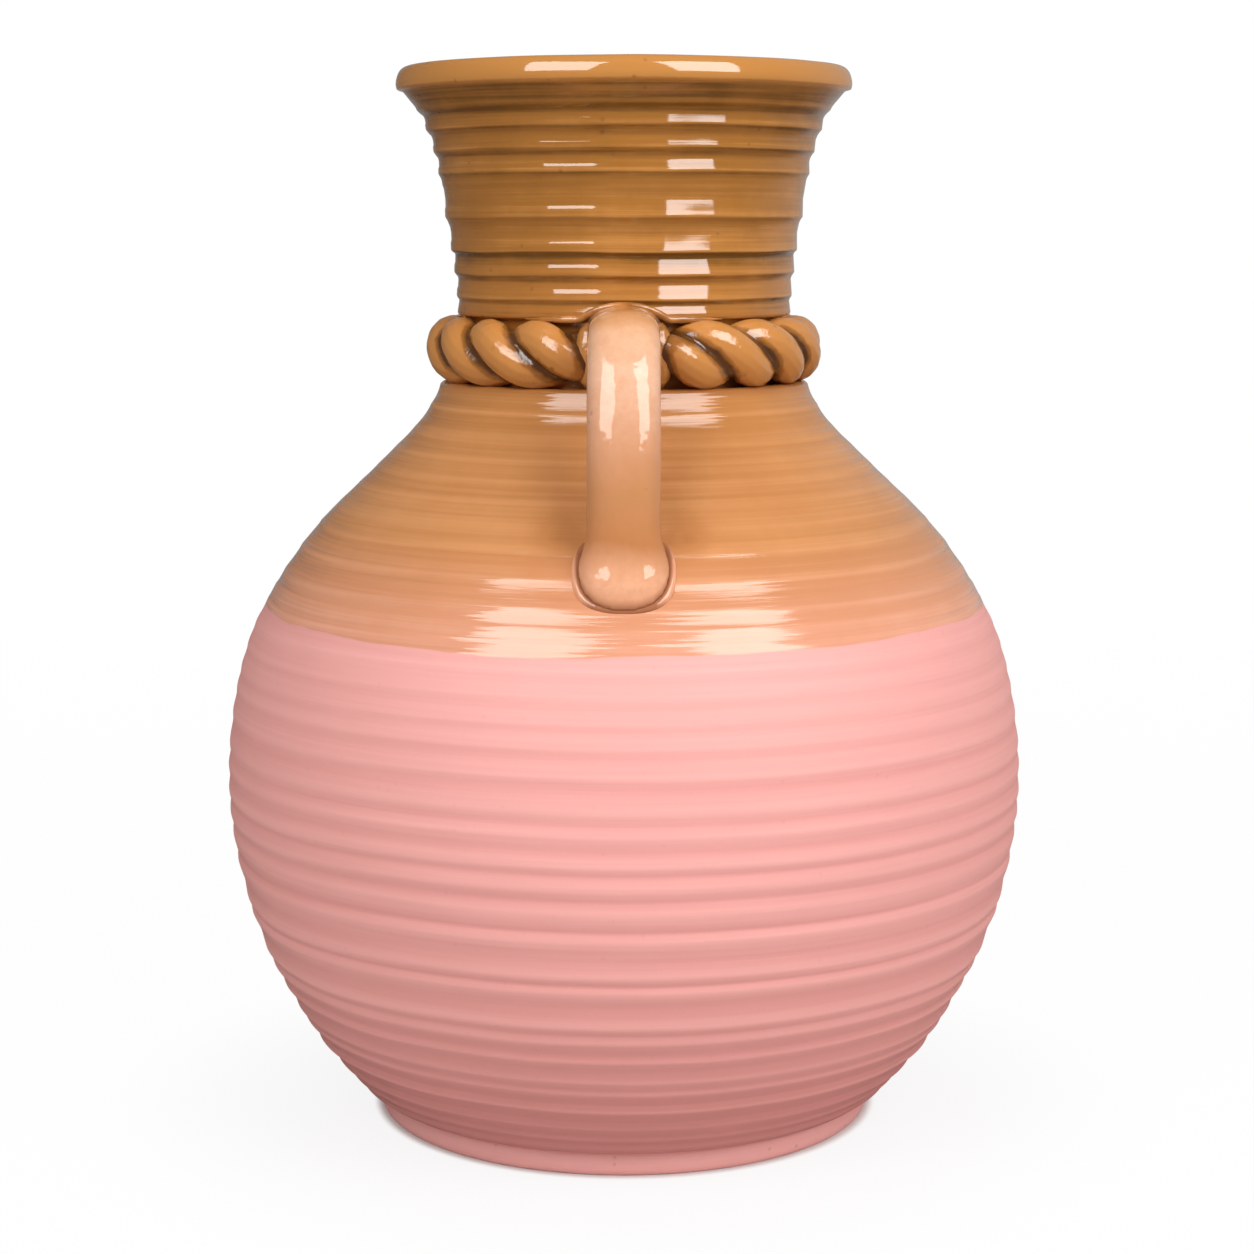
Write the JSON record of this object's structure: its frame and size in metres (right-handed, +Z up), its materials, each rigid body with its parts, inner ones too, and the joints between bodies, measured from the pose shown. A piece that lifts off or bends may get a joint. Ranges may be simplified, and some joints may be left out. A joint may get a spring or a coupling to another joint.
{
  "type": "double-handled vase",
  "caption": "Round-bodied stoneware vase with a flared, ringed neck, a twisted rope collar and handles from throat to shoulder; amber glaze above a bare pink body.",
  "frame": {"origin": "on the vase's axis, in the plane that it stands on", "axes": "+Z up along the axis; one handle faces -Y and the other +Y; +X is to the right of the handle that faces -Y"},
  "size_m": [0.275, 0.275, 0.36],
  "materials": {
    "pink_clay": "bare pink stoneware below a line at mid height, amber glaze above it",
    "foot_clay": "smooth bare stoneware",
    "amber_glaze": "glossy amber glaze, darker in the grooves",
    "rope_glaze": "glossy amber glaze pooled dark between the lobes",
    "peach_glaze": "glossy clear glaze over peach clay, amber towards the top",
    "luting_glaze": "glossy peach to amber glaze"
  },
  "bodies": {
    "root": {"body": "pink_clay", "foot_ring": "foot_clay", "neck": "amber_glaze", "rope_right_strand_a": "rope_glaze", "rope_right_strand_b": "rope_glaze", "rope_left_strand_a": "rope_glaze", "rope_left_strand_b": "rope_glaze", "handle_front": "peach_glaze", "handle_front_saddle": "rope_glaze", "handle_front_luting": "luting_glaze", "handle_back": "peach_glaze", "handle_back_saddle": "rope_glaze", "handle_back_luting": "luting_glaze"}
  },
  "joints": []
}
